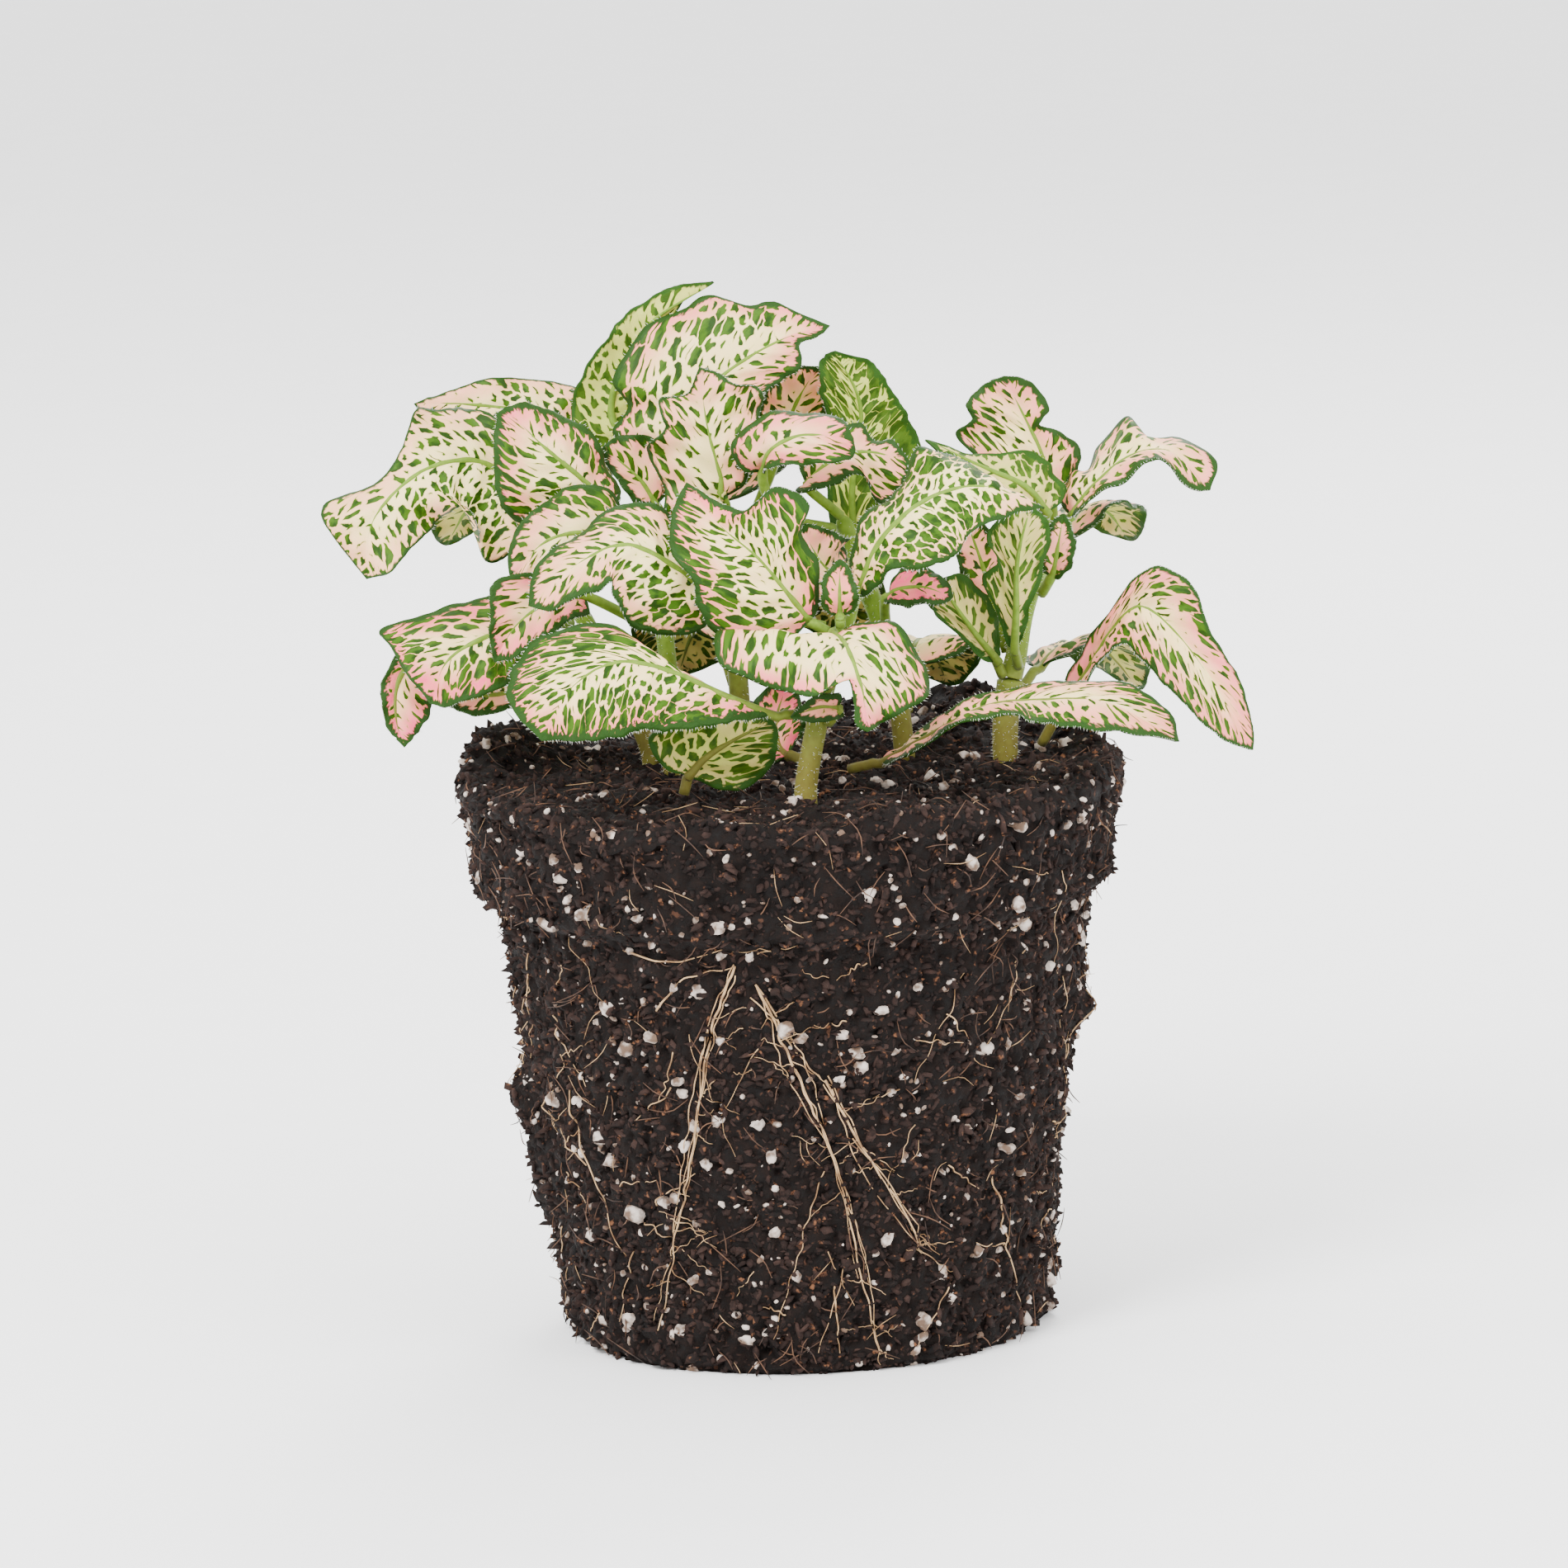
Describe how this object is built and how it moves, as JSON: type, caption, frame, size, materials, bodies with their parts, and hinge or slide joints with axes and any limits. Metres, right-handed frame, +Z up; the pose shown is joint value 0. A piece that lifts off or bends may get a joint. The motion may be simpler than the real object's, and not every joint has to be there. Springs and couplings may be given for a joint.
{
  "type": "nerve plant with bare root ball",
  "caption": "Small nerve plant lifted from its pot: pink-veined leaves on short stems rising from a pot-shaped root ball that stands on its flat foot.",
  "frame": {"origin": "centre of the root ball's flat foot, on the surface it stands on", "axes": "+Z up along the root ball's axis, +X to the plant's right seen from the front, the front faces -Y"},
  "size_m": [0.1551, 0.114, 0.1776],
  "materials": {
    "potting_mix": "damp dark peat potting mix with pale perlite grains, crumbly and matt",
    "stem": "fleshy yellow-green stem with fine pale hairs, satin",
    "leaf": "soft leaf, cream to pink vein net round dark green islands, green margin, satin",
    "root": "pale tan dry root strand, matt"
  },
  "bodies": {
    "root": {"root_ball": "potting_mix", "stem_front": "stem", "stem_left": "stem", "stem_far_left": "stem", "stem_centre": "stem", "stem_centre_right": "stem", "stem_right": "stem", "stem_right_branch": "stem", "leaf_front_left": "leaf", "leaf_front_low": "leaf", "leaf_front_small": "leaf", "leaf_front_middle": "leaf", "leaf_left_front": "leaf", "leaf_left_middle": "leaf", "leaf_left_low": "leaf", "leaf_left_pink": "leaf", "leaf_left_hanging": "leaf", "leaf_left_sliver": "leaf", "leaf_left_far": "leaf", "leaf_left_folded": "leaf", "leaf_left_upper": "leaf", "leaf_top_rolled": "leaf", "leaf_top_large": "leaf", "leaf_top_behind": "leaf", "leaf_top_pale": "leaf", "leaf_top_small": "leaf", "leaf_middle_green": "leaf", "leaf_middle_curled": "leaf", "leaf_middle_back": "leaf", "leaf_middle_inner": "leaf", "leaf_right_large": "leaf", "leaf_right_shaded": "leaf", "leaf_young": "leaf", "leaf_right_long": "leaf", "leaf_right_arching": "leaf", "leaf_right_underside": "leaf", "leaf_right_upright": "leaf", "leaf_right_backward": "leaf", "leaf_right_tall": "leaf", "leaf_right_far": "leaf", "leaf_right_inner": "leaf", "leaf_right_tan": "leaf", "leaf_low_middle": "leaf", "leaf_low_left": "leaf", "leaf_back_centre_low": "leaf", "leaf_back_centre_high": "leaf", "leaf_back_top": "leaf", "leaf_back_middle": "leaf", "leaf_back_right_low": "leaf", "leaf_back_right_high": "leaf", "leaf_back_left_low": "leaf", "leaf_back_left_high": "leaf", "leaf_back_side_high": "leaf", "leaf_back_side_low": "leaf", "root_left": "root", "root_middle": "root", "root_branch": "root"}
  },
  "joints": []
}
